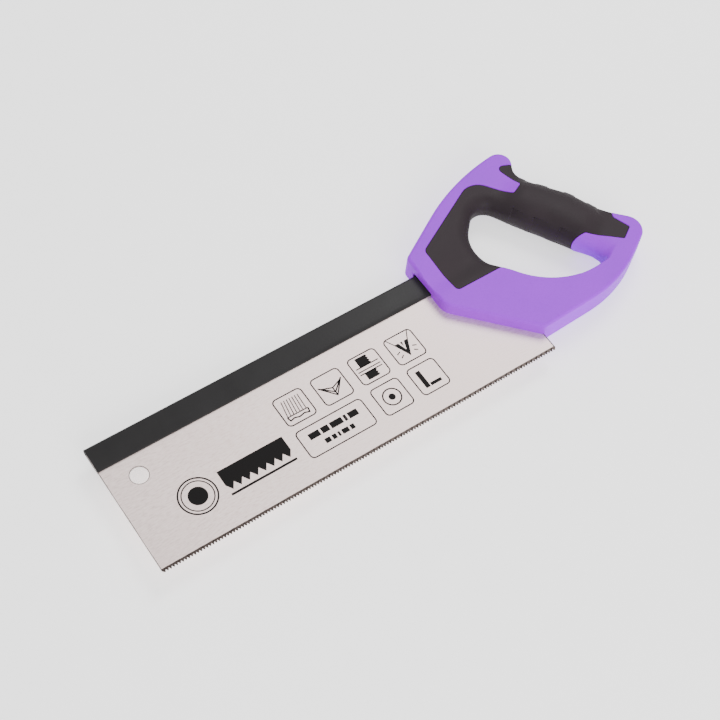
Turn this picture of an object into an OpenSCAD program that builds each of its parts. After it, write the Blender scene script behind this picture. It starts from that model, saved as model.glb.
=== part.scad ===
// Back saw: a thin toothed blade stiffened by a folded steel back, held by three screws in a
// two-component plastic handle. The saw lies flat, its far cheek down, tooth line towards -Y.

/* [Blade] */
// Length of the blade from toe to heel
blade_len = 301.7; // [260:0.1:360]
// Thickness of the blade plate
blade_thick = 0.8; // [0.6:0.1:1.2]
// Height of the blade plate from the tooth tips to its top edge inside the back
blade_height = 94; // [90:1:96]
// Teeth per 25.4 mm of tooth line
teeth_per_inch = 12; // [8:1:15]
// Depth of a tooth from tip to gullet
tooth_depth = 1.6; // [1:0.1:2]
// Diameter of the hanging hole near the toe
hang_hole_d = 12; // [8:0.5:14]

/* [Back] */
// Height of the folded back above the tooth tips
saw_height = 98; // [97:1:100]
// Depth of the folded back, from its top to its lips
back_depth = 18.7; // [16:0.1:20]
// Overall thickness of the folded back
back_thick = 4.4; // [3.6:0.1:5]
// Length of the back, from the toe to its end inside the handle
back_len = 271; // [264:1:272]

/* [Handle] */
// Thickness of the flat cheeks of the handle
cheek_thick = 20; // [18:0.5:22]
// Thickness of the rounded hand grip
grip_thick = 28; // [26:0.5:30]
// Width of the rounded hand grip
grip_width = 40; // [34:0.5:40]
// Thickness of the soft overmould
skin = 2.2; // [1.6:0.1:2.6]

/* [Fixings] */
// Diameter of a blade screw's thread
screw_d = 4; // [3:0.5:4.5]
// Diameter of a blade screw's head
screw_head_d = 8; // [7:0.5:8.5]
// Outer diameter of a threaded insert
insert_d = 6.4; // [6:0.1:7]

/* [Hidden] */
$fn = 48;
// Extra length on solids that only cut or that others trim.
spare = 2;
// Small overlap that joins two solids of one piece.
eps = 0.01;

// Plan positions below are in the saw's own layout: X from the toe, Y from the tooth tips,
// Z from the blade's middle plane. place() moves the layout into the part's frame.
handle_front = 254;
handle_foot = 13.8;
overall_len = 412.8;
overall_height = 151.4;

// Corners as [x, y, corner radius].
handle_corners = [
    [handle_front, 63.5, 12], [301, handle_foot, 4], [370, 16.5, 100], [420, 46.7, 12],
    [402.5, 64.5, 14], [390, 96.5, 60], [364, 129, 8], [374, 153, 9.5],
    [320.5, 147, 175], [handle_front, 108.5, 5]];
hand_hole_corners = [
    [310.7, 29.2, 58], [376, 36.3, 3], [372.2, 48.4, 4], [325.3, 125.7, 11], [300.5, 100, 26]];
overmould_corners = [
    [268, 68.5, 3], [330, 68.5, 0], [360, 63, 0], [373, 60.8, 4], [394, 42.8, 1.5], [403.8, 49, 1.5],
    [398.5, 62.5, 4], [412, 76, 0], [380, 131, 0], [353.5, 141.5, 3.5], [359.8, 118.3, 1.5],
    [350.5, 114, 1.5], [331, 140, 14], [268, 107, 5]];
tang_corners = [
    [0, tooth_depth, 0], [blade_len, tooth_depth, 0], [blade_len, 46, 3], [286, 66, 6],
    [286, blade_height, 2], [0, blade_height, 0]];

// The grip's axis runs down and back from the horn; s is measured along it, u across it.
grip_axis = [0.5075, -0.8616];
grip_across = [0.8616, 0.5075];
grip_mid_u = 364;
grip_from_s = 84;
grip_to_s = 134;
// Length over which the grip's round slopes down at each end, and how far below the cheeks it ends.
grip_run_out = 16;
grip_sink = 1;
// Width across the grip in which its own section takes the cheeks' place.
grip_span = 60;
// A quarter of the grip's section, as shares of its half width and half thickness.
grip_quarter = [[1, 0.36], [0.86, 0.66], [0.66, 0.88], [0.36, 1]];

tooth_pitch = 25.4 / teeth_per_inch;
tooth_count = floor((blade_len - 1) / tooth_pitch);
hang_hole_at = [20.9, 64.6];

back_lip_y = saw_height - back_depth;
back_sheet = 1.1;
back_lip_height = 4;
back_bend = 1;
pocket_gap = 0.8;
slot_gap = 0.05;
tang_gap = 0.3;

screw_places = [[262.5, 73.5], [275, 57.5], [291, 40]];
screw_head_h = 3;
screw_seat_z = -cheek_thick / 2 + 4;
insert_from_z = 1.2;
insert_len = 6.4;
insert_bore = 6;
hole_gap = 0.25;
head_gap = 0.5;
thread_gap = 0.05;
tip_gap = 0.6;
screw_tip_z = insert_from_z + insert_bore - tip_gap;
recess_len = 0.6 * screw_head_d;
recess_width = 1;
recess_depth = 1.6;

function unit(v) = v / norm(v);
function turn_between(a, b) = let (d = b - a) d > 180 ? d - 360 : d < -180 ? d + 360 : d;
function arc_steps(turn, r) = max(2, ceil(abs(turn) / 360 * sqrt(r) * 14));
// The arc that rounds corner q, between its neighbours p and n.
function rounded_corner(p, q, n, r) =
    let (a = unit(p - q), b = unit(n - q), half = acos(a * b) / 2,
         centre = q + unit(a + b) * r / sin(half),
         from = q + a * r / tan(half) - centre, to = q + b * r / tan(half) - centre,
         start = atan2(from[1], from[0]), turn = turn_between(start, atan2(to[1], to[0])),
         steps = arc_steps(turn, r))
    [for (i = [0:steps]) centre + r * [cos(start + turn * i / steps), sin(start + turn * i / steps)]];
function rounded_outline(corners) =
    let (count = len(corners), xy = [for (c = corners) [c[0], c[1]]])
    [for (i = [0:count - 1])
        each corners[i][2] == 0 ? [xy[i]]
           : rounded_corner(xy[(i + count - 1) % count], xy[i], xy[(i + 1) % count], corners[i][2])];
// Moves every side of an outline inwards, or outwards where inset is negative.
function inset_corners(corners, inset) =
    let (count = len(corners), xy = [for (c = corners) [c[0], c[1]]])
    [for (i = [0:count - 1])
        let (a = unit(xy[(i + count - 1) % count] - xy[i]), b = unit(xy[(i + 1) % count] - xy[i]),
             half = acos(a * b) / 2, side = sign(b[0] * a[1] - b[1] * a[0]),
             q = xy[i] + side * unit(a + b) * inset / sin(half), r = corners[i][2])
        [q[0], q[1], r == 0 ? 0 : r - side * inset]];

module place() {
    translate([-overall_len / 2, -overall_height / 2, grip_thick / 2]) children();
}

module slab(thick) {
    translate([0, 0, -thick / 2]) linear_extrude(thick) children();
}

// Carries (across, Z) drawn in XY, with length along the grip, to the grip's place.
module along_grip(from_s, to_s) {
    multmatrix([[grip_across[0], 0, grip_axis[0], grip_mid_u * grip_across[0]],
                [grip_across[1], 0, grip_axis[1], grip_mid_u * grip_across[1]],
                [0, 1, 0, 0], [0, 0, 0, 1]])
        translate([0, 0, from_s]) linear_extrude(to_s - from_s) children();
}

// Carries (along the grip, Z) drawn in XY to the grip's place, over a width across it.
module across_grip(width) {
    multmatrix([[grip_axis[0], 0, -grip_across[0], grip_mid_u * grip_across[0]],
                [grip_axis[1], 0, -grip_across[1], grip_mid_u * grip_across[1]],
                [0, 1, 0, 0], [0, 0, 0, 1]])
        translate([0, 0, -width / 2]) linear_extrude(width) children();
}

// The outline of the handle with its hand opening, every edge moved in by inset.
module handle_plan(inset) {
    difference() {
        polygon(rounded_outline(inset_corners(handle_corners, inset)));
        polygon(rounded_outline(inset_corners(hand_hole_corners, -inset)));
    }
}

// The grip's section, a flattened round with bevelled quarters.
module grip_section(inset) {
    count = len(grip_quarter);
    quarter = [for (q = grip_quarter) [q[0] * grip_width / 2 - inset, q[1] * (grip_thick / 2 - inset)]];
    upper = concat(quarter, [for (i = [count - 1:-1:0]) [-quarter[i][0], quarter[i][1]]]);
    polygon(concat(upper, [for (i = [2 * count - 1:-1:0]) [upper[i][0], -upper[i][1]]]));
}

// The grip's round, sloped down at both ends to just inside the cheeks' faces.
module grip_round(inset) {
    low = cheek_thick / 2 - inset - grip_sink;
    slope = (grip_thick / 2 - inset - low) / grip_run_out;
    middle_s = (grip_from_s + grip_to_s) / 2;
    half_run = middle_s - grip_from_s + grip_run_out;
    roof = [[middle_s - half_run, low], [middle_s, low + slope * half_run], [middle_s + half_run, low]];
    intersection() {
        along_grip(grip_from_s - grip_run_out - spare, grip_to_s + grip_run_out + spare) grip_section(inset);
        across_grip(2 * grip_width) polygon(concat(roof, [for (i = [2:-1:0]) [roof[i][0], -roof[i][1]]]));
    }
}

// The whole handle with every face moved in by inset.
module handle_body(inset = 0) {
    union() {
        difference() {
            slab(cheek_thick - 2 * inset) handle_plan(inset);
            along_grip(grip_from_s, grip_to_s) square([grip_span, 2 * grip_thick], center = true);
        }
        intersection() {
            slab(grip_thick + spare) handle_plan(inset);
            grip_round(inset);
        }
    }
}

// The room under the handle's surface that the soft overmould fills.
module overmould_room() {
    difference() {
        slab(grip_thick + 2 * spare) polygon(rounded_outline(overmould_corners));
        handle_body(skin);
    }
}

module tooth_line() {
    first = (blade_len - tooth_count * tooth_pitch) / 2;
    tips = [for (i = [0:tooth_count - 1]) each [
        [first + i * tooth_pitch, tooth_depth], [first + (i + 0.5) * tooth_pitch, 0]]];
    polygon(concat(tips, [[blade_len, tooth_depth], [blade_len, 3 * tooth_depth],
                          [0, 3 * tooth_depth], [0, tooth_depth]]));
}

module blade() {
    color("gainsboro") place() difference() {
        slab(blade_thick) {
            polygon(rounded_outline(tang_corners));
            tooth_line();
        }
        translate(hang_hole_at) cylinder(h = blade_thick + spare, d = hang_hole_d, center = true);
        for (at = screw_places)
            translate(at) cylinder(h = blade_thick + spare, d = screw_d + 2 * hole_gap, center = true);
    }
}

// The folded sheet's section, as [distance from the middle plane, height above the teeth].
module back_section() {
    outer = back_thick / 2;
    lip = blade_thick / 2 + back_sheet;
    inner = outer - back_sheet;
    fold_y = saw_height - outer;
    bend_y = back_lip_y + back_lip_height;
    difference() {
        union() {
            polygon([[-lip, back_lip_y], [lip, back_lip_y], [outer, bend_y],
                     [outer, fold_y], [-outer, fold_y], [-outer, bend_y]]);
            translate([0, fold_y]) circle(outer);
        }
        polygon([[-blade_thick / 2, back_lip_y - spare], [blade_thick / 2, back_lip_y - spare],
                 [blade_thick / 2, bend_y - back_bend], [inner, bend_y + back_bend],
                 [inner, fold_y], [-inner, fold_y], [-inner, bend_y + back_bend],
                 [-blade_thick / 2, bend_y - back_bend]]);
        translate([0, fold_y]) circle(inner);
    }
}

module back() {
    color("dimgray") place()
        multmatrix([[0, 0, 1, 0], [0, 1, 0, 0], [1, 0, 0, 0], [0, 0, 0, 1]])
            linear_extrude(back_len) back_section();
}

// What the blade, the back and the fixings take out of the handle.
module fixing_space() {
    slab(blade_thick + 2 * slot_gap) polygon(rounded_outline(inset_corners(tang_corners, -tang_gap)));
    translate([handle_front - spare, back_lip_y - pocket_gap, -back_thick / 2 - pocket_gap])
        cube([back_len + pocket_gap - handle_front + spare, back_depth + 2 * pocket_gap,
              back_thick + 2 * pocket_gap]);
    for (at = screw_places) translate(at) {
        translate([0, 0, -cheek_thick])
            cylinder(h = cheek_thick + screw_seat_z, d = screw_head_d + 2 * head_gap);
        translate([0, 0, screw_seat_z - eps])
            cylinder(h = insert_from_z - screw_seat_z, d = screw_d + 2 * hole_gap);
        translate([0, 0, insert_from_z]) cylinder(h = insert_len, d = insert_d);
    }
}

module handle_core() {
    color("mediumpurple") place() difference() {
        handle_body();
        overmould_room();
        fixing_space();
    }
}

module grip_overmould() {
    color("darkslategray") place() intersection() {
        handle_body();
        overmould_room();
    }
}

module blade_screw(at) {
    color("silver") place() translate(at) difference() {
        union() {
            translate([0, 0, screw_seat_z - screw_head_h]) cylinder(h = screw_head_h, d = screw_head_d);
            translate([0, 0, screw_seat_z - eps]) cylinder(h = screw_tip_z - screw_seat_z + eps, d = screw_d);
        }
        for (turn = [0, 90]) rotate(turn)
            translate([-recess_len / 2, -recess_width / 2, screw_seat_z - screw_head_h - spare])
                cube([recess_len, recess_width, recess_depth + spare]);
    }
}

module threaded_insert(at) {
    color("goldenrod") place() translate([at[0], at[1], insert_from_z]) difference() {
        cylinder(h = insert_len, d = insert_d);
        translate([0, 0, -spare]) cylinder(h = insert_bore + spare, d = screw_d + 2 * thread_gap);
    }
}

blade();
back();
handle_core();
grip_overmould();
blade_screw(screw_places[0]);  // front_blade_screw
blade_screw(screw_places[1]);  // middle_blade_screw
blade_screw(screw_places[2]);  // rear_blade_screw
threaded_insert(screw_places[0]);  // front_threaded_insert
threaded_insert(screw_places[1]);  // middle_threaded_insert
threaded_insert(screw_places[2]);  // rear_threaded_insert
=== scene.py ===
"""Back saw: a ground steel blade under a folded black back, held in a two-colour moulded handle.

Shapes are worked out in the saw's own layout, in millimetres: X from the toe along the tooth line,
Y from the tooth tips towards the back, Z from the blade's middle plane. place() carries them to the frame.
"""
import math

import bpy
import numpy as np
from mathutils import Matrix, Vector


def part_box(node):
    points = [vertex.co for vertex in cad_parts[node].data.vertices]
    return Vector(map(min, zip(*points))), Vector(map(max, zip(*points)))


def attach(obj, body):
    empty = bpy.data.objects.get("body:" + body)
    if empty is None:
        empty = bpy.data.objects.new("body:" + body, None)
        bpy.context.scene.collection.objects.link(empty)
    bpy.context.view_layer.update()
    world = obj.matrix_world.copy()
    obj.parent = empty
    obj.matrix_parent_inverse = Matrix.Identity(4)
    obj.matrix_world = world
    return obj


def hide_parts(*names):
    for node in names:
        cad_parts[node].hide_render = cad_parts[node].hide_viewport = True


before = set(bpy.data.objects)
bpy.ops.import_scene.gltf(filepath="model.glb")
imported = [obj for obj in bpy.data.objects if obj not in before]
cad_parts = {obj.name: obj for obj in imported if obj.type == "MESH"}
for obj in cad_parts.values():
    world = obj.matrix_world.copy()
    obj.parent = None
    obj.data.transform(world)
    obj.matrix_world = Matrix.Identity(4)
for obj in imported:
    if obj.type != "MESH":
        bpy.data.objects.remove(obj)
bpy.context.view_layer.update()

BLADE_THICK = 0.8
BLADE_LEN = 301.7
blade_low = np.array(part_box("blade")[0]) * 1000
ORIGIN = blade_low + np.array([0, 0, BLADE_THICK / 2])


def place(points):
    """Layout millimetres to frame metres."""
    return (np.asarray(points, float) + ORIGIN) / 1000


# ---------------------------------------------------------------- shader helpers

class Shader:
    """A material's nodes, with short calls for the few kinds used here."""

    def __init__(self, name, **values):
        self.material = bpy.data.materials.new(name)
        self.material.use_nodes = True
        self.tree = self.material.node_tree
        self.surface = self.tree.nodes["Principled BSDF"]
        for socket, value in values.items():
            self.surface.inputs[socket.replace("_", " ")].default_value = value
        self.coords = self.node("ShaderNodeTexCoord").outputs["Object"]

    def node(self, kind, **settings):
        made = self.tree.nodes.new(kind)
        for key, value in settings.items():
            setattr(made, key, value)
        return made

    def link(self, source, target):
        self.tree.links.new(source, target)

    def stretch(self, scale):
        mapping = self.node("ShaderNodeMapping")
        mapping.inputs["Scale"].default_value = scale
        self.link(self.coords, mapping.inputs["Vector"])
        return mapping.outputs["Vector"]

    def noise(self, scale, detail=4, rough=0.55, vector=None):
        tex = self.node("ShaderNodeTexNoise")
        tex.inputs["Scale"].default_value = scale
        tex.inputs["Detail"].default_value = detail
        tex.inputs["Roughness"].default_value = rough
        self.link(vector or self.coords, tex.inputs["Vector"])
        return tex.outputs["Fac"]

    def ramp(self, fac, stops):
        ramp = self.node("ShaderNodeValToRGB")
        elements = ramp.color_ramp.elements
        while len(elements) < len(stops):
            elements.new(0.5)
        for element, (at, colour) in zip(elements, stops):
            element.position = at
            element.color = (*colour, 1)
        self.link(fac, ramp.inputs["Fac"])
        return ramp.outputs["Color"]

    def spread(self, fac, low, high, from_low=0.0, from_high=1.0):
        node = self.node("ShaderNodeMapRange")
        limits = {"From Min": from_low, "From Max": from_high, "To Min": low, "To Max": high}
        for key, value in limits.items():
            node.inputs[key].default_value = value
        self.link(fac, node.inputs["Value"])
        return node.outputs["Result"]

    def mix(self, fac, a, b):
        node = self.node("ShaderNodeMix", data_type="RGBA")
        for socket, value in ((node.inputs[0], fac), (node.inputs[6], a), (node.inputs[7], b)):
            if isinstance(value, (int, float)):
                socket.default_value = value
            elif isinstance(value, tuple):
                socket.default_value = (*value, 1)
            else:
                self.link(value, socket)
        return node.outputs[2]

    def bump(self, height, depth_m):
        node = self.node("ShaderNodeBump")
        node.inputs["Distance"].default_value = depth_m
        self.link(height, node.inputs["Height"])
        return node.outputs["Normal"]

    def set(self, socket, source):
        self.link(source, self.surface.inputs[socket])


def purple_plastic():
    sh = Shader("handle_plastic", Specular_IOR_Level=0.12)
    cloud = sh.noise(22, 3)
    speck = sh.noise(900, 2)
    tone = sh.mix(sh.spread(cloud, 0, 1, 0.3, 0.7), (0.33, 0.008, 0.8), (0.38, 0.014, 0.88))
    sh.set("Base Color", sh.mix(sh.spread(speck, 0, 0.2, 0.45, 0.75), tone, (0.24, 0.006, 0.6)))
    sh.set("Roughness", sh.spread(cloud, 0.42, 0.54, 0.3, 0.7))
    fine = sh.noise(2600, 3)
    sh.set("Normal", sh.bump(fine, 0.00005))
    return sh.material


def black_rubber():
    sh = Shader("grip_rubber", Specular_IOR_Level=0.12)
    cloud = sh.noise(35, 4)
    tone = sh.spread(cloud, 0, 1, 0.3, 0.7)
    sh.set("Base Color", sh.mix(tone, (0.024, 0.018, 0.021), (0.032, 0.024, 0.028)))
    sh.set("Roughness", sh.spread(cloud, 0.48, 0.62, 0.3, 0.7))
    fine = sh.noise(1800, 4)
    sh.set("Normal", sh.bump(fine, 0.00009))
    return sh.material


def ground_steel():
    sh = Shader("blade_steel", Metallic=0.9)
    grain = sh.noise(900, 5, 0.65, sh.stretch((0.25, 1, 1)))
    cloud = sh.noise(9, 3)
    tone = sh.ramp(grain, [(0.3, (0.7, 0.57, 0.54)), (0.5, (0.9, 0.76, 0.73)), (0.7, (0.99, 0.88, 0.85))])
    tone = sh.mix(sh.spread(cloud, 0, 0.3, 0.35, 0.7), tone, (0.72, 0.61, 0.58))
    sh.set("Base Color", tone)
    sh.set("Roughness", sh.spread(grain, 0.5, 0.62, 0.3, 0.7))
    sh.set("Normal", sh.bump(grain, 0.00003))
    return sh.material


def hardened_steel():
    sh = Shader("hardened_teeth", Metallic=0.7)
    heat = sh.noise(700, 3)
    sh.set("Base Color", sh.ramp(heat, [(0.35, (0.03, 0.022, 0.02)), (0.6, (0.08, 0.06, 0.052)),
                                        (0.8, (0.04, 0.038, 0.05))]))
    sh.set("Roughness", sh.spread(heat, 0.3, 0.5, 0.3, 0.7))
    return sh.material


def sheared_steel():
    sh = Shader("sheared_edge", Metallic=0.8, Roughness=0.55)
    rough = sh.noise(1100, 4)
    sh.set("Base Color", sh.mix(rough, (0.05, 0.042, 0.04), (0.2, 0.18, 0.17)))
    sh.set("Normal", sh.bump(rough, 0.0001))
    return sh.material


def back_paint():
    sh = Shader("back_paint", Specular_IOR_Level=0.18)
    cloud = sh.noise(30, 4)
    peel = sh.noise(1500, 3)
    tone = sh.spread(cloud, 0, 1, 0.3, 0.7)
    sh.set("Base Color", sh.mix(tone, (0.018, 0.017, 0.0175), (0.023, 0.022, 0.0225)))
    sh.set("Roughness", sh.spread(cloud, 0.42, 0.52, 0.3, 0.7))
    sh.set("Normal", sh.bump(peel, 0.00004))
    return sh.material


def plated_steel():
    sh = Shader("screw_steel", Metallic=1.0)
    turned = sh.noise(1200, 3)
    sh.set("Base Color", sh.mix(turned, (0.5, 0.5, 0.48), (0.74, 0.74, 0.73)))
    sh.set("Roughness", sh.spread(turned, 0.2, 0.38, 0.3, 0.7))
    return sh.material


def turned_brass():
    sh = Shader("insert_brass", Metallic=1.0)
    turned = sh.noise(1500, 3)
    sh.set("Base Color", sh.mix(turned, (0.55, 0.35, 0.11), (0.73, 0.5, 0.19)))
    sh.set("Roughness", sh.spread(turned, 0.22, 0.4, 0.3, 0.7))
    return sh.material


def print_ink():
    sh = Shader("print_ink", Roughness=0.6, Specular_IOR_Level=0.1)
    wear = sh.noise(1600, 4)
    sh.set("Base Color", sh.ramp(wear, [(0.3, (0.006, 0.005, 0.005)), (0.75, (0.01, 0.009, 0.009)),
                                        (0.9, (0.03, 0.026, 0.026))]))
    return sh.material


PURPLE = purple_plastic()
RUBBER = black_rubber()
STEEL = ground_steel()
HARD = hardened_steel()
SHEARED = sheared_steel()
PAINT = back_paint()
PLATED = plated_steel()
BRASS = turned_brass()
INK = print_ink()


# ---------------------------------------------------------------- mesh helpers

def make(name, verts_mm, faces, materials, normals=None, face_material=None, smooth=True):
    """A mesh object in the frame, riding on the saw."""
    mesh = bpy.data.meshes.new(name)
    verts = place(verts_mm)
    if isinstance(faces, np.ndarray):
        count, size = faces.shape
        mesh.vertices.add(len(verts))
        mesh.vertices.foreach_set("co", verts.astype(np.float32).ravel())
        mesh.loops.add(count * size)
        mesh.loops.foreach_set("vertex_index", faces.astype(np.int32).ravel())
        mesh.polygons.add(count)
        mesh.polygons.foreach_set("loop_start", np.arange(0, count * size, size, dtype=np.int32))
        mesh.update(calc_edges=True)
    else:
        mesh.from_pydata(verts.tolist(), [], faces)
    for material in materials:
        mesh.materials.append(material)
    if face_material is not None:
        mesh.polygons.foreach_set("material_index", np.asarray(face_material, np.int32))
    mesh.polygons.foreach_set("use_smooth", np.full(len(mesh.polygons), smooth))
    mesh.validate()
    if normals is not None:
        mesh.normals_split_custom_set_from_vertices([tuple(n) for n in normals])
    obj = bpy.data.objects.new(name, mesh)
    bpy.context.scene.collection.objects.link(obj)
    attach(obj, "root")
    return obj


def keep_creases(obj, degrees=35):
    """Flat shading across edges that turn by more than that."""
    obj.data.set_sharp_from_angle(angle=math.radians(degrees))


def unit(v):
    return v / np.linalg.norm(v)


def rounded_outline(corners, step_deg=4.0):
    """Corners as (x, y, corner radius), joined by straight sides and arcs."""
    points = []
    count = len(corners)
    xy = [np.array(c[:2], float) for c in corners]
    for i, (x, y, r) in enumerate(corners):
        if r == 0:
            points.append(xy[i])
            continue
        a = unit(xy[i - 1] - xy[i])
        b = unit(xy[(i + 1) % count] - xy[i])
        half = math.acos(float(a @ b)) / 2
        centre = xy[i] + unit(a + b) * r / math.sin(half)
        start = xy[i] + a * r / math.tan(half) - centre
        end = xy[i] + b * r / math.tan(half) - centre
        from_a = math.atan2(start[1], start[0])
        turn = (math.atan2(end[1], end[0]) - from_a + math.pi) % (2 * math.pi) - math.pi
        steps = max(3, math.ceil(abs(math.degrees(turn)) / step_deg * max(1, r / 20)))
        for k in range(steps + 1):
            angle = from_a + turn * k / steps
            points.append(centre + r * np.array([math.cos(angle), math.sin(angle)]))
    return np.array(points)


def polygon_distance(points, polygon):
    """Signed distance from each point to a closed polygon, negative inside."""
    a = polygon
    b = np.roll(polygon, -1, axis=0)
    out = np.empty(len(points))
    for at in range(0, len(points), 20000):
        p = points[at:at + 20000, None, :]
        ab = (b - a)[None]
        ap = p - a[None]
        t = np.clip((ap * ab).sum(2) / np.maximum((ab * ab).sum(2), 1e-12), 0, 1)
        near = np.sqrt(((ap - t[..., None] * ab) ** 2).sum(2).min(1))
        py = p[..., 1]
        crosses = (a[None, :, 1] > py) != (b[None, :, 1] > py)
        with np.errstate(divide="ignore", invalid="ignore"):
            x_at = a[None, :, 0] + (py - a[None, :, 1]) * ab[..., 0] / ab[..., 1]
        inside = (crosses & (p[..., 0] < x_at)).sum(1) % 2 == 1
        out[at:at + 20000] = np.where(inside, -near, near)
    return out


class PlanField:
    """Signed distance over the handle's plan, kept on a grid and read smoothly between its points."""

    X0, Y0, STEP, NX, NY = 240.0, 2.0, 0.5, 376, 322

    def __init__(self, polygon):
        x = self.X0 + self.STEP * np.arange(self.NX)
        y = self.Y0 + self.STEP * np.arange(self.NY)
        grid = np.stack(np.meshgrid(x, y, indexing="ij"), -1).reshape(-1, 2)
        self.values = polygon_distance(grid, polygon).reshape(self.NX, self.NY)

    def __call__(self, x, y):
        fx = np.clip((x - self.X0) / self.STEP, 1, self.NX - 3.001)
        fy = np.clip((y - self.Y0) / self.STEP, 1, self.NY - 3.001)
        ix = fx.astype(int)
        iy = fy.astype(int)
        wx = self.weights(fx - ix)
        wy = self.weights(fy - iy)
        total = 0
        for i in range(4):
            row = 0
            for j in range(4):
                row = row + wy[j] * self.values[ix + i - 1, iy + j - 1]
            total = total + wx[i] * row
        return total

    @staticmethod
    def weights(t):
        return (-0.5 * t + t * t - 0.5 * t ** 3, 1 - 2.5 * t * t + 1.5 * t ** 3,
                0.5 * t + 2 * t * t - 1.5 * t ** 3, 0.5 * (t ** 3 - t * t))


def smoothstep(low, high, v):
    t = np.clip((v - low) / (high - low), 0, 1)
    return t * t * (3 - 2 * t)


# ---------------------------------------------------------------- handle

HANDLE_CORNERS = [
    (254, 63.5, 12), (301, 13.8, 4), (370, 16.5, 100), (420, 46.7, 12), (402.5, 64.5, 14),
    (390, 96.5, 60), (364, 129, 8), (374, 153, 9.5), (320.5, 147, 175), (254, 108.5, 5)]
HAND_HOLE_CORNERS = [
    (310.7, 29.2, 58), (376, 36.3, 3), (372.2, 48.4, 4), (325.3, 125.7, 11), (300.5, 100, 26)]
OVERMOULD_CORNERS = [
    (268, 68.5, 3), (330, 68.5, 0), (360, 63, 0), (373, 60.8, 4), (394, 42.8, 1.5), (403.8, 49, 1.5),
    (398.5, 62.5, 4), (412, 76, 0), (380, 131, 0), (353.5, 141.5, 3.5), (359.8, 118.3, 1.5),
    (350.5, 114, 1.5), (331, 140, 14), (268, 107, 5)]
CHEEK_HALF = 10.0
GRIP_HALF = 13.9
GRIP_POWER = 2.25
FINGER_RIB = 0.75
PALM_RIB = 0.42
EDGE_R = 2.4
POCKET_END = 260.0
POCKET_FOOT = 78.4
POCKET_TOP = 98.8
POCKET_HALF = 3.0
SCREW_PLACES = {"front": (262.5, 73.5), "middle": (275, 57.5), "rear": (291, 40)}
SEAT_Z = -6.0
HEAD_BORE_R = 4.5
GRIP_AXIS = np.array([0.5075, -0.8616])
GRIP_ACROSS = np.array([0.8616, 0.5075])

# A point on the thumb slope's crest, the slope's direction, its steepness and the crest's roundness.
CREST = (329.0, 123.5)
CREST_DOWN = (0.347, -0.938)
THUMB_FALL = 0.11
CREST_ROUND = 1.5

outer_field = PlanField(rounded_outline(HANDLE_CORNERS))
hole_field = PlanField(rounded_outline(HAND_HOLE_CORNERS))
region_field = PlanField(rounded_outline(OVERMOULD_CORNERS))


def rounded_edge(plan, height, radius, breadth=1.0):
    """Distance to a solid whose wall and face meet in a round edge, as wide as breadth times its height."""
    a = plan / breadth + radius
    b = height + radius
    return np.minimum(np.maximum(a, b), 0) + np.hypot(np.maximum(a, 0), np.maximum(b, 0)) - radius


def thumb_slope(x, y):
    """How far each cheek falls away inside the crest that runs down from the top of the hand opening."""
    past = (x - CREST[0]) * CREST_DOWN[0] + (y - CREST[1]) * CREST_DOWN[1]
    fall = THUMB_FALL * CREST_ROUND * np.logaddexp(0, past / CREST_ROUND)
    return fall * smoothstep(70, 88, y) * (1 - smoothstep(322, 336, x))


def scallops(along, starts, run):
    """How deep the grip is let in along its length: a step at each start, which runs out over its length."""
    depth = 0
    for start in starts:
        past = along - start
        depth = depth + smoothstep(-0.35, 0.35, past) * np.clip(1 - past / run, 0, 1)
    return depth


def valleys(along):
    """How deep the palm side is let in between its raised pads."""
    depth = 0
    for from_s, to_s in ((82.0, 90.0), (98.5, 110.5), (118.5, 128.5), (136.0, 145.5)):
        depth = depth + smoothstep(-0.9, 0.9, along - from_s) * smoothstep(0.9, -0.9, along - to_s)
    return depth


def handle_field(x, y, z, outer, hole, ribs=True):
    """Negative inside the handle. outer and hole are the distances from its outline and its hand opening."""
    along = x * GRIP_AXIS[0] + y * GRIP_AXIS[1]
    across = x * GRIP_ACROSS[0] + y * GRIP_ACROSS[1]
    height = np.abs(z)
    # The cheeks, whose edge at the opening grows rounder above the opening's lower side.
    sunk = height + thumb_slope(x, y)
    rear = smoothstep(335, 350, x)
    roll = smoothstep(60 - 26 * rear, 80 - 36 * rear, y)
    breadth = 1 + roll * (0.25 + 0.55 * rear)
    slab = np.maximum(rounded_edge(outer, height - CHEEK_HALF, EDGE_R),
                      rounded_edge(-hole, sunk - CHEEK_HALF, 1.0 + 7.5 * roll, breadth))
    # The pocket for the folded back, and the far side's holes for the screw heads.
    pocket_y = np.maximum(POCKET_FOOT - y, y - POCKET_TOP)
    slab = np.maximum(slab, -np.maximum(np.maximum(x - POCKET_END, pocket_y), height - POCKET_HALF))
    for at in SCREW_PLACES.values():
        slab = np.maximum(slab, -np.maximum(np.hypot(x - at[0], y - at[1]) - HEAD_BORE_R, z - SEAT_Z))
    # The grip, nearly an ellipse in section, takes the cheeks' place between its two ends.
    width = np.maximum(hole - outer, 12.0)
    q = (hole + outer) / width
    rise = smoothstep(62, 88, along) * (1 - smoothstep(132, 152, along))
    thick = CHEEK_HALF + (GRIP_HALF - CHEEK_HALF) * rise
    ratio = (np.abs(q) ** GRIP_POWER + (height / thick) ** GRIP_POWER) ** (1 / GRIP_POWER)
    grip = (ratio - 1) * np.minimum(width / 2, thick)
    blend = rise * smoothstep(328, 334, across)
    body = slab * (1 - blend) + grip * blend
    if not ribs:
        return body
    finger = smoothstep(-0.35, -0.55, q) * smoothstep(9.3, 8.7, height) * FINGER_RIB
    palm = smoothstep(0.42, 0.6, q) * smoothstep(11.2, 10.2, height) * PALM_RIB
    let_in = finger * scallops(along, (83.5, 99.8, 119.5), 13) + palm * valleys(along)
    return body + let_in * blend


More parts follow.
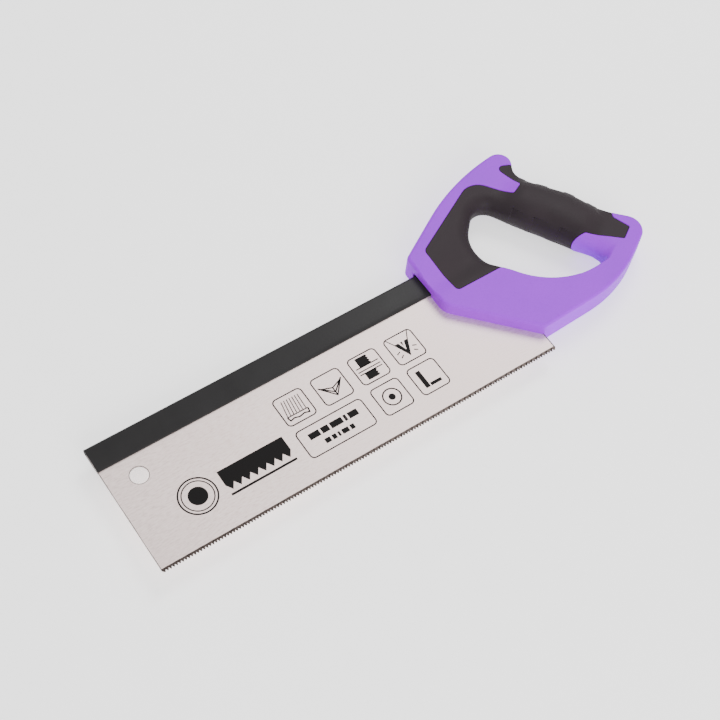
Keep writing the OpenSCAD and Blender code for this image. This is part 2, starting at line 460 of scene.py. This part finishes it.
def handle_gradient(p, ribs=True, h=0.04):
    """Field and its gradient at points."""
    x, y, z = p.T
    plan = [(outer_field(x + dx, y + dy), hole_field(x + dx, y + dy))
            for dx, dy in ((h, 0), (-h, 0), (0, h), (0, -h), (0, 0))]
    value = handle_field(x, y, z, *plan[4], ribs)
    gx = (handle_field(x + h, y, z, *plan[0], ribs) - handle_field(x - h, y, z, *plan[1], ribs)) / (2 * h)
    gy = (handle_field(x, y + h, z, *plan[2], ribs) - handle_field(x, y - h, z, *plan[3], ribs)) / (2 * h)
    gz = (handle_field(x, y, z + h, *plan[4], ribs) - handle_field(x, y, z - h, *plan[4], ribs)) / (2 * h)
    return value, np.stack([gx, gy, gz], 1)


def settle(points, rounds=3, reach=0.5, ribs=True):
    """Moves points onto the handle's surface and returns them with its normals there."""
    for _ in range(rounds):
        value, slope = handle_gradient(points, ribs)
        step = slope * (value / np.maximum((slope ** 2).sum(1), 0.05))[:, None]
        length = np.linalg.norm(step, axis=1)
        points = points - step * np.minimum(1, reach / np.maximum(length, 1e-9))[:, None]
    slope = handle_gradient(points, ribs)[1]
    return points, slope / np.maximum(np.linalg.norm(slope, axis=1), 1e-9)[:, None]


NET_SPANS = ((251.0, 418.0), (10.5, 155.0), (-15.3, 15.4))
GROOVE_HALF = 0.1


def surface_net(step):
    """Triangles over the handle's surface, their corners on it."""
    x, y, z = (np.arange(low, high, step) for low, high in NET_SPANS)
    gx, gy = np.meshgrid(x, y, indexing="ij")
    outer = outer_field(gx, gy)[..., None]
    hole = hole_field(gx, gy)[..., None]
    values = handle_field(gx[..., None], gy[..., None], z[None, None, :], outer, hole)
    inside = values < 0
    shape = np.array(values.shape) - 1
    corner = [(i, j, k) for i in (0, 1) for j in (0, 1) for k in (0, 1)]

    def at(array, c):
        return array[c[0]:c[0] + shape[0], c[1]:c[1] + shape[1], c[2]:c[2] + shape[2]]

    total = np.zeros(tuple(shape) + (3,), np.float32)
    hits = np.zeros(tuple(shape), np.float32)
    for c in corner:
        for axis in range(3):
            if c[axis]:
                continue
            d = tuple(c[m] + (1 if m == axis else 0) for m in range(3))
            va = at(values, c)
            vb = at(values, d)
            cross = (va < 0) != (vb < 0)
            t = np.where(cross, va / np.where(cross, va - vb, 1), 0)
            for m in range(3):
                total[..., m] += np.where(cross, c[m] + (t if m == axis else 0), 0)
            hits += cross
    cells = hits > 0
    index = np.full(cells.shape, -1)
    index[cells] = np.arange(cells.sum())
    where = np.argwhere(cells)
    local = total[cells] / hits[cells][:, None]
    points = (where + local) * step + np.array([x[0], y[0], z[0]])
    quads = []
    for axis in range(3):
        u, v = [m for m in range(3) if m != axis]
        lo = [slice(1, -1)] * 3
        lo[axis] = slice(0, -1)
        hi = list(lo)
        hi[axis] = slice(1, None)
        a = inside[tuple(lo)]
        b = inside[tuple(hi)]
        offset = np.array([0 if m == axis else 1 for m in range(3)])
        for sign, flip in ((a & ~b, False), (~a & b, True)):
            base = np.argwhere(sign) + offset
            ring = []
            for du, dv in ((0, 0), (-1, 0), (-1, -1), (0, -1)):
                cell = base.copy()
                cell[:, u] += du
                cell[:, v] += dv
                ring.append(index[cell[:, 0], cell[:, 1], cell[:, 2]])
            quad = np.stack(ring, 1)
            if flip != (axis == 1):
                quad = quad[:, ::-1]
            quads.append(quad)
    quads = np.concatenate(quads)
    quads = quads[(quads >= 0).all(1)]
    return points, quads


def relax(points, quads, rounds=2):
    """Evens out the net's spacing, keeping every corner on the surface."""
    normals = None
    for _ in range(rounds):
        total = np.zeros_like(points)
        count = np.zeros(len(points))
        for i in range(4):
            a = quads[:, i]
            b = quads[:, (i + 1) % 4]
            for s, t in ((a, b), (b, a)):
                for m in range(3):
                    total[:, m] += np.bincount(s, points[t, m], len(points))
                count += np.bincount(s, minlength=len(points))
        mean = total / np.maximum(count, 1)[:, None]
        points, normals = settle(points, 1)
        pull = mean - points
        pull -= normals * (pull * normals).sum(1)[:, None]
        points = points + pull * 0.6
    return settle(points, 3)


def clip(points, tris, value, level, keep):
    """The triangles on the kept side of level, the corners added along the cut, and its directed edges."""
    kept = keep[tris].sum(1)
    whole = tris[kept == 3]
    parts = []
    rims = []
    for lone_in in (True, False):
        some = tris[kept == (1 if lone_in else 2)]
        lone = (keep[some] == lone_in).argmax(1)
        row = np.arange(len(some))
        a, b, c = (some[row, (lone + m) % 3] for m in range(3))
        cuts = []
        for other in (b, c):
            key = np.minimum(a, other).astype(np.int64) * len(points) + np.maximum(a, other)
            cuts.append((key, a, other))
        parts.append((lone_in, a, b, c, cuts))
    keys = np.concatenate([cut[0] for part in parts for cut in part[4]])
    firsts = np.concatenate([cut[1] for part in parts for cut in part[4]])
    seconds = np.concatenate([cut[2] for part in parts for cut in part[4]])
    unique, first_at = np.unique(keys, return_index=True)
    i = firsts[first_at]
    j = seconds[first_at]
    t = ((level - value[i]) / (value[j] - value[i]))[:, None]
    cut_points = points[i] * (1 - t) + points[j] * t
    base = len(points)
    made = [whole]
    for lone_in, a, b, c, cuts in parts:
        ab = base + np.searchsorted(unique, cuts[0][0])
        ac = base + np.searchsorted(unique, cuts[1][0])
        if lone_in:
            made.append(np.stack([a, ab, ac], 1))
            rims.append(np.stack([ab, ac], 1))
        else:
            made.append(np.stack([ab, b, c], 1))
            made.append(np.stack([ab, c, ac], 1))
            rims.append(np.stack([ac, ab], 1))
    return cut_points, np.concatenate(made), np.concatenate(rims)


def region_slope(points, normals, h=0.05):
    """Direction along the surface in which the overmould's distance falls fastest."""
    x, y = points[:, 0], points[:, 1]
    gx = (region_field(x + h, y) - region_field(x - h, y)) / (2 * h)
    gy = (region_field(x, y + h) - region_field(x, y - h)) / (2 * h)
    slope = np.stack([gx, gy, np.zeros(len(x))], 1)
    slope -= normals * (slope * normals).sum(1)[:, None]
    return slope / np.maximum(np.linalg.norm(slope, axis=1), 1e-6)[:, None], slope


def compact(points, normals, faces):
    used = np.unique(faces)
    renumber = np.full(len(points), -1)
    renumber[used] = np.arange(len(used))
    return points[used], normals[used], renumber[faces]


def moulded_piece(name, net, above, edge_r, lower, depth, material):
    """One side of the parting line between the two plastics, with a rolled edge and a hidden floor."""
    points, normals, tris, value = net
    level = (GROOVE_HALF + edge_r) * (1 if above else -1)
    keep = (value > level) if above else (value < level)
    cut, kept, rims = clip(points, tris, value, level, keep)
    base = len(points)
    for _ in range(3):
        cut, n = settle(cut, 1)
        off = region_field(cut[:, 0], cut[:, 1]) - level
        _, raw = region_slope(cut, n)
        cut = cut - raw * (np.clip(off, -0.4, 0.4) / np.maximum((raw ** 2).sum(1), 0.1))[:, None]
    cut, cut_n = settle(cut, 2)
    all_points = np.concatenate([points, cut])
    all_normals = np.concatenate([normals, cut_n])
    under, under_n = settle(all_points, 3, ribs=False)
    direction, _ = region_slope(cut, cut_n)
    towards = direction * (-1 if above else 1)
    verts = [all_points - all_normals * lower]
    norms = [all_normals]
    faces = [kept]
    count = len(all_points)
    previous = np.arange(base, count)
    p, q = rims[:, 0] - base, rims[:, 1] - base
    ring_steps = [(edge_r * math.sin(a), edge_r * (1 - math.cos(a)), a) for a in np.radians((30, 60, 90))]
    ring_steps += [(edge_r, depth, math.pi / 2), (0.0, depth, math.pi / 2)]
    for aside, down, angle in ring_steps:
        verts.append(cut + towards * aside - cut_n * (lower + down))
        norms.append(cut_n * math.cos(angle) + towards * math.sin(angle))
        here = np.arange(count, count + len(cut))
        count += len(cut)
        faces.append(np.stack([previous[q], previous[p], here[p]], 1))
        faces.append(np.stack([previous[q], here[p], here[q]], 1))
        previous = here
    # The hidden floor: under the overmould for the core, its own inner face for the overmould.
    hidden = clip(points, tris, value, level, ~keep)[1] if above else kept[:, ::-1]
    verts.append(under - under_n * (lower + depth))
    norms.append(under_n if above else -under_n)
    faces.append(hidden + count)
    verts, norms, faces = compact(np.concatenate(verts), np.concatenate(norms), np.concatenate(faces))
    return make(name, verts, faces, [material], normals=norms)


def build_handle():
    points, quads = surface_net(0.6)
    points, normals = relax(points, quads)
    tris = np.concatenate([quads[:, [0, 1, 2]], quads[:, [0, 2, 3]]])
    value = region_field(points[:, 0], points[:, 1])
    net = (points, normals, tris, value)
    core = moulded_piece("handle_core_moulding", net, True, edge_r=0.4, lower=0.0, depth=2.6,
                         material=PURPLE)
    grip = moulded_piece("grip_overmoulding", net, False, edge_r=0.3, lower=0.25, depth=2.0,
                         material=RUBBER)
    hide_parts("handle_core")
    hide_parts("grip_overmould")


build_handle()


# ---------------------------------------------------------------- blade

SAW_HEIGHT = 98.0
BACK_DEPTH = 18.7
BACK_THICK = 4.4
BACK_LEN = 271.0
SHEET = 1.1
TOOTH_PITCH = 25.4 / 12
TOOTH_DEPTH = 1.6
TOOTH_SET = 0.24
HEAT_BAND = 1.1
BURR_PROUD = 0.012
# The hanging hole's centre and radius.
HANG_HOLE = (20.9, 64.6, 6.0)
PLATE_TOP = 94.0
TANG_CORNERS = [(BLADE_LEN, 46, 3), (286, 66, 6), (286, PLATE_TOP, 2)]
# Places of the blade's materials in its list.
FACE, TOOTH, EDGE = range(3)


def build_blade():
    """The plate with its bevelled edges, its teeth set to alternate sides, and the burrs of its cut edges."""
    half = BLADE_THICK / 2
    bevel = 0.08
    foot = TOOTH_DEPTH + HEAT_BAND
    outline = rounded_outline([(0, PLATE_TOP, 0), (0, foot, 0), (BLADE_LEN, foot, 0)] + TANG_CORNERS)
    angles = np.linspace(0, 2 * math.pi, 97)[:-1]
    centre = np.array(HANG_HOLE[:2])
    hole = centre + HANG_HOLE[2] * np.stack([np.cos(angles), np.sin(angles)], 1)
    curve = bpy.data.curves.new("plate", "CURVE")
    curve.dimensions = "2D"
    curve.fill_mode = "BOTH"
    curve.extrude = (half - bevel) / 1000
    curve.bevel_depth = bevel / 1000
    curve.bevel_resolution = 1
    curve.offset = -bevel / 1000
    for ring in (outline, hole):
        spline = curve.splines.new("POLY")
        spline.points.add(len(ring) - 1)
        for point, (x, y) in zip(spline.points, ring):
            point.co = (x / 1000, y / 1000, 0, 1)
        spline.use_cyclic_u = True
    carrier = bpy.data.objects.new("plate", curve)
    bpy.context.scene.collection.objects.link(carrier)
    plate = carrier.to_mesh()
    verts = np.array([v.co for v in plate.vertices]) * 1000
    faces = [tuple(p.vertices) for p in plate.polygons]
    materials = [EDGE if abs(p.normal.z) < 0.3 else FACE for p in plate.polygons]
    carrier.to_mesh_clear()
    bpy.data.objects.remove(carrier)
    bpy.data.curves.remove(curve)
    verts = [tuple(v) for v in verts]
    count = int((BLADE_LEN - 1) / TOOTH_PITCH)
    first = (BLADE_LEN - count * TOOTH_PITCH) / 2
    for i in range(count):
        left = first + i * TOOTH_PITCH
        right = left + TOOTH_PITCH
        middle = left + TOOTH_PITCH / 2
        side = 1 if i % 2 else -1
        lean = side * TOOTH_SET
        base = len(verts)
        heat = foot + 0.08 * math.sin(i * 1.7) + 0.06 * math.sin(i * 0.61)
        from_x = 0.0 if i == 0 else left
        to_x = BLADE_LEN if i == count - 1 else right
        for z, fleam in ((half, 0.32), (-half, -0.32)):
            skew = fleam * side
            tip = middle + skew * 0.3
            tip_z = z * 0.5 + lean
            verts += [(from_x, heat, z), (to_x, heat, z), (to_x, TOOTH_DEPTH, z), (tip + 0.14, 0.02, tip_z),
                      (tip - 0.14, 0.02, tip_z), (from_x, TOOTH_DEPTH, z)]
        ring = [0, 5, 4, 3, 2, 1]
        faces.append(tuple(base + k for k in ring))
        faces.append(tuple(base + 6 + k for k in reversed(ring)))
        for k in range(6):
            a = ring[k]
            b = ring[(k + 1) % 6]
            faces.append((base + b, base + a, base + 6 + a, base + 6 + b))
        materials += [TOOTH] * 8
    rim = np.append(angles, 2 * math.pi)
    turn = np.stack([np.cos(rim), np.sin(rim)], 1)
    toe_y = np.linspace(foot, SAW_HEIGHT - BACK_DEPTH + 0.5, 40)
    heel_y = np.linspace(foot, 30, 60)
    toe_burr = 0.45 + 0.08 * np.sin(toe_y * 3)
    heel_burr = 0.8 - 0.35 * np.sin(heel_y * 5.3) * np.sin(heel_y * 1.9 + 1)
    heel = np.array([BLADE_LEN, 0.0])
    burrs = [(centre + turn * (HANG_HOLE[2] + bevel), centre + turn * (HANG_HOLE[2] + 0.5)),
             (np.stack([toe_y * 0 + bevel, toe_y], 1), np.stack([toe_burr, toe_y], 1)),
             (heel + np.stack([heel_y * 0 - bevel, heel_y], 1), heel + np.stack([-heel_burr, heel_y], 1))]
    for edge, inner in burrs:
        for z in (half + BURR_PROUD, -half - BURR_PROUD):
            base = len(verts)
            for a, b in zip(edge, inner):
                verts += [(a[0], a[1], z), (b[0], b[1], z)]
            for i in range(len(edge) - 1):
                k = base + 2 * i
                faces.append((k, k + 1, k + 3, k + 2))
                materials.append(EDGE)
    blade = make("blade_plate", verts, faces, [STEEL, HARD, SHEARED],
                 face_material=materials, smooth=False)
    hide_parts("blade")


build_blade()


# ---------------------------------------------------------------- folded back

def build_back():
    """A sheet folded over the plate's top edge, its lips pinching the plate."""
    half = BACK_THICK / 2
    lip_y = SAW_HEIGHT - BACK_DEPTH
    lip = BLADE_THICK / 2 + SHEET
    fold_y = SAW_HEIGHT - half
    arc = [math.radians(a) for a in range(0, 181, 10)]
    edge_z = lip + 0.12
    edge_y = lip_y + 0.4
    flank = [(lip - 0.3, lip_y), (lip - 0.05, lip_y + 0.1), (edge_z, edge_y)]
    flank += [(edge_z + (half - edge_z) * t * (2 - t), edge_y + 10 * t) for t in (0.25, 0.5, 0.75, 1)]
    flank += [(half, fold_y - 2)]
    outside = flank + [(half * math.cos(a), fold_y + half * math.sin(a)) for a in arc]
    outside += [(-z, y) for z, y in reversed(flank)]
    inner = half - SHEET
    gap = BLADE_THICK / 2 + 0.01
    inside = [(-gap, lip_y), (-gap, lip_y + 3), (-inner, lip_y + 5)]
    inside += [(inner * math.cos(a), fold_y + inner * math.sin(a)) for a in reversed(arc)]
    inside += [(inner, lip_y + 5), (gap, lip_y + 3), (gap, lip_y)]
    section = np.array(outside + inside)
    nxt = np.roll(section, -1, 0) - section
    prv = section - np.roll(section, 1, 0)
    nxt /= np.linalg.norm(nxt, axis=1)[:, None]
    prv /= np.linalg.norm(prv, axis=1)[:, None]
    inward = nxt + prv
    inward = np.stack([-inward[:, 1], inward[:, 0]], 1)
    inward /= np.maximum(np.linalg.norm(inward, axis=1), 1e-6)[:, None]
    if inward[0] @ (np.array([0, SAW_HEIGHT]) - section[0]) < 0:
        inward = -inward
    rings = []
    for x, shrink in ((0.0, 0.22), (0.08, 0.08), (0.25, 0.0), (BACK_LEN - 0.25, 0.0), (BACK_LEN, 0.2)):
        ring = section + inward * shrink
        rings.append([(x, y, z) for z, y in ring])
    n = len(section)
    verts = [v for ring in rings for v in ring]
    faces = []
    for r in range(len(rings) - 1):
        for k in range(n):
            a, b = r * n + k, r * n + (k + 1) % n
            faces.append((a, b, b + n, a + n))
    out_n = len(outside)
    in_n = len(inside)
    steps = max(out_n, in_n)
    for base, flip in ((0, True), ((len(rings) - 1) * n, False)):
        for k in range(steps - 1):
            o0 = round(k * (out_n - 1) / (steps - 1))
            o1 = round((k + 1) * (out_n - 1) / (steps - 1))
            i0 = n - 1 - round(k * (in_n - 1) / (steps - 1))
            i1 = n - 1 - round((k + 1) * (in_n - 1) / (steps - 1))
            quad = []
            for v in (o0, o1, i1, i0):
                if base + v not in quad:
                    quad.append(base + v)
            if len(quad) > 2:
                faces.append(tuple(quad if flip else reversed(quad)))
    back = make("folded_back", verts, faces, [PAINT])
    keep_creases(back)
    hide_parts("back")


build_back()


# ---------------------------------------------------------------- screws and inserts

HEAD_TOP_Z = -9.0
HEAD_R = 4.0
CROSS_ARM = 0.62
CROSS_REACH = 2.5
THREAD_FROM_Z = -4.0
THREAD_TO_Z = 6.0
THREAD_TURN = 0.7


def build_screws():
    """Pan-headed screws driven from the far side, head down, with a cross recess."""
    angles = [2 * math.pi * k / 48 for k in range(48)]
    around = len(angles)
    profile = [(HEAD_R, -7.9), (HEAD_R, -6.2), (3.9, SEAT_Z), (2.0, SEAT_Z), (2.0, THREAD_FROM_Z)]
    z = THREAD_FROM_Z
    while z < THREAD_TO_Z:
        profile += [(1.72, z + 0.18), (1.98, z + 0.35), (1.98, z + 0.42), (1.72, z + 0.6)]
        z += THREAD_TURN
    profile.append((1.3, 6.6))
    rings = []
    for r in (0.6, 1.0, 1.4, 1.8, 2.2, 2.6, 3.0, 3.4, 3.7, 3.9):
        dome = HEAD_TOP_Z + 0.9 * (r / HEAD_R) ** 3
        ring = []
        for a in angles:
            arm = min(abs(r * math.cos(a)), abs(r * math.sin(a)))
            depth = 1.9 - 0.4 * r if arm < CROSS_ARM and r < CROSS_REACH else 0
            ring.append((r * math.cos(a), r * math.sin(a), dome + depth))
        rings.append(ring)
    rings += [[(r * math.cos(a), r * math.sin(a), z) for a in angles] for r, z in profile]
    faces = [tuple(range(around))]
    for i in range(len(rings) - 1):
        for k in range(around):
            a = i * around + k
            b = i * around + (k + 1) % around
            faces.append((b, a, a + around, b + around))
    end = (len(rings) - 1) * around
    faces.append(tuple(range(end, end + around))[::-1])
    for name, at in SCREW_PLACES.items():
        verts = [(at[0] + x, at[1] + y, z) for ring in rings for x, y, z in ring]
        screw = make(name + "_pan_head_screw", verts, faces, [PLATED])
        keep_creases(screw)
        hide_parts(name + "_blade_screw")
        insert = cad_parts[name + "_threaded_insert"]
        insert.data.materials.clear()
        insert.data.materials.append(BRASS)


build_screws()


# ---------------------------------------------------------------- print on the blade

PRINT_PROUD = 0.02
FRAME_SIZE = 21.4
FRAME_R = 3.0
FRAME_LINE = 0.9
LONG_FRAME = 50.0
FRAME_COLUMNS = (118.0, 147.0, 176.0, 205.0)
UPPER_ROW = 43.6
LOWER_ROW = 16.8
BAND_CORNER = (62.0, 30.0)
DISC_CENTRE = (44.0, 33.0)


def build_print():
    """Plain frames with simple tool and timber shapes, rows of bars, a toothed band and a ringed disc."""
    verts = []
    faces = []
    corner = [0.0, 0.0]
    top = BLADE_THICK / 2 + PRINT_PROUD

    def add(points, quads):
        base = len(verts)
        verts.extend((corner[0] + x, corner[1] + y, top) for x, y in points)
        faces.extend(tuple(base + k for k in quad) for quad in quads)

    def circle(x, y, r, step_deg):
        angles = np.radians(np.arange(0, 360, step_deg))
        return [(x + r * math.cos(a), y + r * math.sin(a)) for a in angles]

    def area(points):
        x = [p[0] for p in points]
        y = [p[1] for p in points]
        return sum(x[i] * y[(i + 1) % len(x)] - x[(i + 1) % len(x)] * y[i] for i in range(len(x))) / 2

    def solid(points):
        points = list(points)
        if area(points) < 0:
            points.reverse()
        add(points, [tuple(range(len(points)))])

    def stroke(points, width, closed=False):
        p = np.array(points, float)
        n = len(p)
        sides = []
        for i in range(n):
            before = p[i] - p[i - 1] if (closed or i > 0) else p[1] - p[0]
            after = p[(i + 1) % n] - p[i] if (closed or i < n - 1) else p[i] - p[i - 1]
            a, b = unit(before), unit(after)
            mid = unit(a + b)
            normal = np.array([-mid[1], mid[0]])
            reach = width / 2 / max(0.4, float(normal @ np.array([-a[1], a[0]])))
            sides.append((p[i] + normal * reach, p[i] - normal * reach))
        pts = [q for pair in sides for q in pair]
        quads = []
        for i in range(n if closed else n - 1):
            j = (i + 1) % n
            quads.append((2 * i, 2 * i + 1, 2 * j + 1, 2 * j))
        add(pts, quads)

    def box(w, h, r=FRAME_R, width=FRAME_LINE):
        stroke(rounded_outline([(0, 0, r), (w, 0, r), (w, h, r), (0, h, r)], 12), width, True)

    middle = FRAME_SIZE / 2
    for column, x in enumerate(FRAME_COLUMNS):
        for y in (UPPER_ROW, LOWER_ROW) if column > 1 else (UPPER_ROW,):
            corner[:] = (x, y)
            box(FRAME_SIZE, FRAME_SIZE + 0.6)
    # A fluted board.
    corner[:] = (FRAME_COLUMNS[0], UPPER_ROW)
    for k in range(7):
        stroke([(3.0 + k * 2.3, 6.5 + (k % 2) * 0.5), (5.2 + k * 2.05, 18.6)], 0.65)
    stroke([(2.6, 6.6), (3.4, 3.6), (6.5, 4.4), (10, 3.4), (14, 4.2), (17.4, 3.2), (18, 6.4)], 1.0)
    stroke([(2.6, 6.6), (18, 6.4)], 0.8)
    # A mitred corner.
    corner[:] = (FRAME_COLUMNS[1], UPPER_ROW)
    for inset in (0.0, 2.6, 6.2):
        reach = 8.9 - inset * 0.3
        rise = 14.4 - inset * 0.25
        stroke([(middle - reach, rise), (middle, 4.0 + inset), (middle + reach, rise)], 0.9)
    stroke([(middle, 4.0), (middle, 10.2)], 0.9)
    # A blade crossing a board.
    corner[:] = (FRAME_COLUMNS[2], UPPER_ROW)
    for low, high in ((2.4, 8.0), (13.0, 20.4)):
        blade_end = [(5.4, low), (5.4, high)]
        steps = int((high - low) / 0.9)
        for k in range(steps + 1):
            blade_end.append((13.4 + (k % 2) * 1.1, high - k * (high - low) / steps))
        solid(blade_end)
    for rise in (8.0, 10.2, 13.0):
        stroke([(2.0, rise), (19.4, rise)], 0.8)
    # A tooth.
    corner[:] = (FRAME_COLUMNS[3], UPPER_ROW)
    for side in (-1, 1):
        solid([(middle + side * 5.6, 15.6), (middle, 3.4), (middle, 8.8), (middle + side * 2.3, 15.6)])
        stroke([(middle + side * 5.2, 15.6), (middle + side * 8.6, 21.6)], 0.7)
        stroke([(middle + side * 7.8, 8.4), (middle + side * 5.0, 9.6)], 0.8)
        stroke([(middle + side * 6.6, 4.8), (middle + side * 4.2, 6.4)], 0.8)
    solid([(middle - 0.8, 15.6), (middle, 11.8), (middle + 0.8, 15.6)])
    # A ring.
    corner[:] = (FRAME_COLUMNS[2], LOWER_ROW)
    stroke(circle(middle, 11, 6.2, 10), 1.0, True)
    solid(circle(middle, 11, 2.4, 15))
    # A square.
    corner[:] = (FRAME_COLUMNS[3], LOWER_ROW)
    solid([(4.6, 4.2), (8.0, 4.2), (8.0, 18.0), (4.6, 18.0)])
    solid([(8.8, 4.2), (17.2, 4.2), (17.2, 6.6), (8.8, 6.6)])
    # Two rows of bars in a long frame.
    corner[:] = (FRAME_COLUMNS[0], LOWER_ROW)
    box(LONG_FRAME, FRAME_SIZE)
    gap = 1.4
    for y, h, lengths in ((11.8, 4.6, (8, 5.5, 9, 2, 7)), (4.6, 3.6, (4, 3, 1.6, 5, 3))):
        x = (LONG_FRAME - sum(lengths) - gap * (len(lengths) - 1)) / 2
        for length in lengths:
            solid([(x, y), (x + length, y), (x + length, y + h), (x, y + h)])
            x += length + gap
    # A toothed band with a rule under it.
    corner[:] = BAND_CORNER
    band = [(0.0, 0.0)]
    for k in range(8):
        band += [((k + 0.5) * 6.0, -4.6), ((k + 1) * 6.0, 0.0)]
    solid(band + [(48.0, 11.0), (0.0, 11.0)])
    stroke([(0.0, -7.4), (48.0, -7.4)], 1.6)
    # A ringed disc.
    corner[:] = DISC_CENTRE
    for r, width in ((12.6, 1.1), (10.4, 0.8)):
        stroke(circle(0, 0, r, 6), width, True)
    solid(circle(0, 0, 6.4, 10))
    make("blade_print", verts, faces, [INK], smooth=False)


build_print()


# ---------------------------------------------------------------- studio

def studio():
    """A pale floor, an even sky and two large soft lamps."""
    mesh = bpy.data.meshes.new("floor")
    mesh.from_pydata([(-30, -30, 0), (30, -30, 0), (30, 30, 0), (-30, 30, 0)], [], [(0, 1, 2, 3)])
    floor = bpy.data.objects.new("floor", mesh)
    bpy.context.scene.collection.objects.link(floor)
    sh = Shader("floor_paper", Roughness=0.9)
    tooth = sh.noise(40, 3)
    paper = sh.mix(tooth, (0.9, 0.9, 0.9), (0.93, 0.93, 0.93))
    sh.set("Base Color", paper)
    sh.set("Emission Color", paper)
    sh.surface.inputs["Emission Strength"].default_value = 1.1
    mesh.materials.append(sh.material)
    world = bpy.data.worlds.new("studio")
    world.use_nodes = True
    world.node_tree.nodes["Background"].inputs["Color"].default_value = (1, 1, 1, 1)
    world.node_tree.nodes["Background"].inputs["Strength"].default_value = 0.9
    bpy.context.scene.world = world

    def lamp(name, at, target, size, watts):
        light = bpy.data.lights.new(name, "AREA")
        light.shape = "DISK"
        light.size = size
        light.energy = watts
        obj = bpy.data.objects.new(name, light)
        obj.location = at
        obj.rotation_euler = (Vector(target) - Vector(at)).to_track_quat("-Z", "Y").to_euler()
        bpy.context.scene.collection.objects.link(obj)

    lamp("key", (0.74, 0.56, 1.2), (0.1, 0, 0), 0.7, 12)
    lamp("fill", (-0.25, -1.4, 0.75), (0.1, 0, 0), 1.2, 20)


def camera():
    """The camera looks at a point on the blade's plane from above, turned about its own axis."""
    target = np.array([184.9, 62.1, 0.0])
    azimuth, tilt, roll = np.radians([-130.8, 32.46, -38.02])
    distance = 984.0
    back = np.array([math.sin(tilt) * math.cos(azimuth), math.sin(tilt) * math.sin(azimuth), math.cos(tilt)])
    eye = place(target + distance * back)
    right = unit(np.cross(-back, [0, 1.0, 0]))
    up = np.cross(right, -back)
    image_right = math.cos(roll) * right + math.sin(roll) * up
    image_up = -math.sin(roll) * right + math.cos(roll) * up
    data = bpy.data.cameras.new("camera")
    data.sensor_width = 36
    data.lens = 75
    obj = bpy.data.objects.new("camera", data)
    matrix = Matrix([[*row, 0] for row in np.stack([image_right, image_up, back], 1)] + [[0, 0, 0, 1]])
    matrix.translation = Vector(eye)
    obj.matrix_world = matrix
    bpy.context.scene.collection.objects.link(obj)
    bpy.context.scene.camera = obj


studio()
camera()
